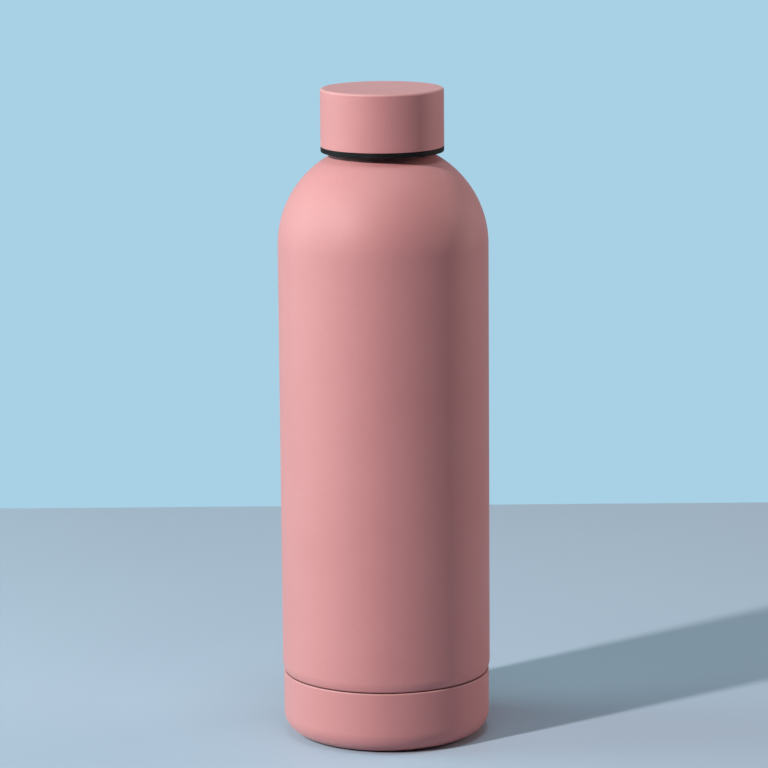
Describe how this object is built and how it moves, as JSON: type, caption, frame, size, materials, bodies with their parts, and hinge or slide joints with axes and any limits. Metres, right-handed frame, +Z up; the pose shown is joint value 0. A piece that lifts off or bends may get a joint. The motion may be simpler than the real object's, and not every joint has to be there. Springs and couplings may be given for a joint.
{
  "type": "insulated bottle",
  "caption": "Slim double-walled steel drinking bottle with a round shoulder, a coated body and base cup, and a flat-topped screw cap that lifts off a threaded neck.",
  "frame": {"origin": "centre of the circle that the bottle stands on, at table level", "axes": "+Z up along the bottle's axis, from the base to the cap; the outside is round, so X and Y have no natural front"},
  "size_m": [0.07, 0.07, 0.2182],
  "materials": {
    "coating": "matte soft-touch powder coating",
    "steel": "satin stainless steel",
    "black_plastic": "fine-textured moulded polypropylene",
    "silicone": "translucent white silicone",
    "foam": "closed-cell foam",
    "copper": "bright rolled copper foil",
    "getter_alloy": "pressed metal powder",
    "solder_glass": "fused solder glass",
    "adhesive": "cured silicone adhesive"
  },
  "bodies": {
    "bottle": {"outer_shell": "coating", "inner_vessel": "steel", "inner_bottom": "steel", "middle_bottom": "steel", "vacuum_seal": "solder_glass", "getter": "getter_alloy", "getter_clip": "steel", "heat_foil": "copper", "base_cup": "coating", "base_adhesive": "adhesive"},
    "washer": {"cap_seal": "silicone"},
    "cap": {"cap_shell": "coating", "cap_core": "black_plastic", "cap_core_lid": "black_plastic", "cap_insulation": "foam", "cap_pad": "foam"}
  },
  "joints": [
    {"name": "cap_rise", "type": "slide", "parent": "bottle", "child": "washer", "axis": [0, 0, 1], "range_m": [0, 0.0321]},
    {"name": "cap_turn", "type": "hinge", "parent": "washer", "child": "cap", "pos_m": [0, 0, 0.1985], "axis": [0, 0, 1], "range_deg": [0, 1440]}
  ],
  "couplings": [
    {"joint": "cap_rise", "follows": "cap_turn", "m_per_rad": 0.0012732}
  ]
}
